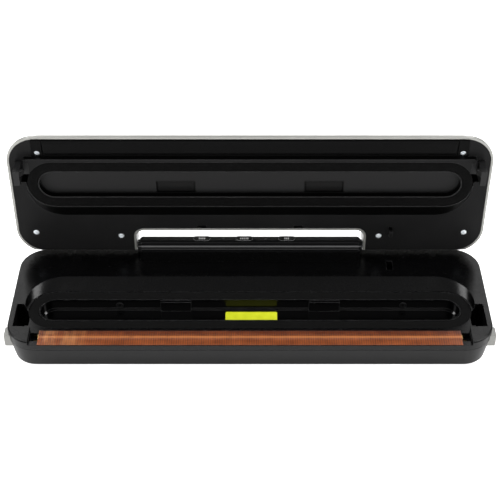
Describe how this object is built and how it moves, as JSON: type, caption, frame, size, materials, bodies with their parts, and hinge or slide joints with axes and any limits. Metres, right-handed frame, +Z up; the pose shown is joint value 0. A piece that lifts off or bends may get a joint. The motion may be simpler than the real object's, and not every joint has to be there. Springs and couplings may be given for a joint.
{
  "type": "vacuum sealer",
  "caption": "Slim counter-top vacuum sealer with a hinged lid, foam-sealed vacuum basin, taped sealing wire, raised button console and sprung side release buttons.",
  "frame": {"origin": "middle of the whole part's footprint, on the surface that it stands on, with the lid open", "axes": "+X to the right seen from the front, +Y to the rear, +Z up"},
  "size_m": [0.3688, 0.122, 0.143],
  "materials": {
    "black_shell": "satin",
    "black_deck": "satin",
    "panel": "gloss",
    "dark_plastic": "satin",
    "lid_silver": "metallic paint",
    "foam": "closed-cell foam",
    "silicone": "matte",
    "silicone_strip": "matte",
    "tape": "coated glass weave",
    "steel": "zinc plated",
    "heating_alloy": "plain",
    "brass_clip": "plain",
    "rubber_foot": "matte",
    "light_pipe": "clear",
    "circuit_board": "solder mask",
    "red_plastic": "satin",
    "hose": "silicone",
    "motor_steel": "plain",
    "transformer": "varnished",
    "capacitor": "sleeved"
  },
  "bodies": {
    "base": {"lower_housing": "black_shell", "deck_plate": "black_deck", "console_housing": "black_deck", "control_panel": "panel", "indicator_lights": "light_pipe", "control_board": "circuit_board", "tact_switches": "dark_plastic", "base_gasket": "foam", "heater_bar": "silicone", "heating_wire": "heating_alloy", "heater_terminals": "brass_clip", "release_tape": "tape", "hinge_pins": "steel", "bottom_screws": "steel", "rubber_feet": "rubber_foot", "latch_spring_left": "steel", "latch_spring_right": "steel", "lid_switch": "dark_plastic", "suction_ports": "dark_plastic", "suction_hose": "hose", "sensor_hose": "hose", "pressure_switch": "dark_plastic", "pump_head": "dark_plastic", "pump_motor": "motor_steel", "pump_cradle": "rubber_foot", "supply_board": "circuit_board", "supply_transformer": "transformer", "supply_capacitor": "capacitor", "cord_gland": "rubber_foot"},
    "lid": {"lid_cover": "lid_silver", "lid_inner_plate": "black_deck", "lid_gasket": "foam", "press_strip": "silicone_strip", "latch_hook_left": "dark_plastic", "latch_hook_right": "dark_plastic", "lid_screws": "steel"},
    "release_left": {"release_button_left": "lid_silver", "latch_slider_left": "dark_plastic"},
    "release_right": {"release_button_right": "lid_silver", "latch_slider_right": "dark_plastic"},
    "button_left": {"button_left": "panel"},
    "button_centre": {"button_centre": "panel"},
    "button_right": {"button_right": "panel"},
    "switch_plunger": {"switch_plunger": "red_plastic"}
  },
  "joints": [
    {"name": "lid_hinge", "type": "hinge", "parent": "base", "child": "lid", "pos_m": [0, 0.047, 0.036], "axis": [1, 0, 0], "range_deg": [0, 90]},
    {"name": "release_left_slide", "type": "slide", "parent": "base", "child": "release_left", "axis": [1, 0, 0], "range_m": [0, 0.003], "stiffness_N_per_m": 900, "springref_m": -0.002, "deforming": ["latch_spring_left"]},
    {"name": "release_right_slide", "type": "slide", "parent": "base", "child": "release_right", "axis": [-1, 0, 0], "range_m": [0, 0.003], "stiffness_N_per_m": 900, "springref_m": -0.002, "deforming": ["latch_spring_right"]},
    {"name": "button_left_press", "type": "slide", "parent": "base", "child": "button_left", "axis": [0, 0, -1], "range_m": [0, 0.0008], "stiffness_N_per_m": 1500, "springref_m": -0.0006},
    {"name": "button_centre_press", "type": "slide", "parent": "base", "child": "button_centre", "axis": [0, 0, -1], "range_m": [0, 0.0008], "stiffness_N_per_m": 1500, "springref_m": -0.0006},
    {"name": "button_right_press", "type": "slide", "parent": "base", "child": "button_right", "axis": [0, 0, -1], "range_m": [0, 0.0008], "stiffness_N_per_m": 1500, "springref_m": -0.0006},
    {"name": "switch_plunger_press", "type": "slide", "parent": "base", "child": "switch_plunger", "axis": [0, 0, -1], "range_m": [0, 0.0015], "stiffness_N_per_m": 300, "springref_m": -0.001}
  ]
}
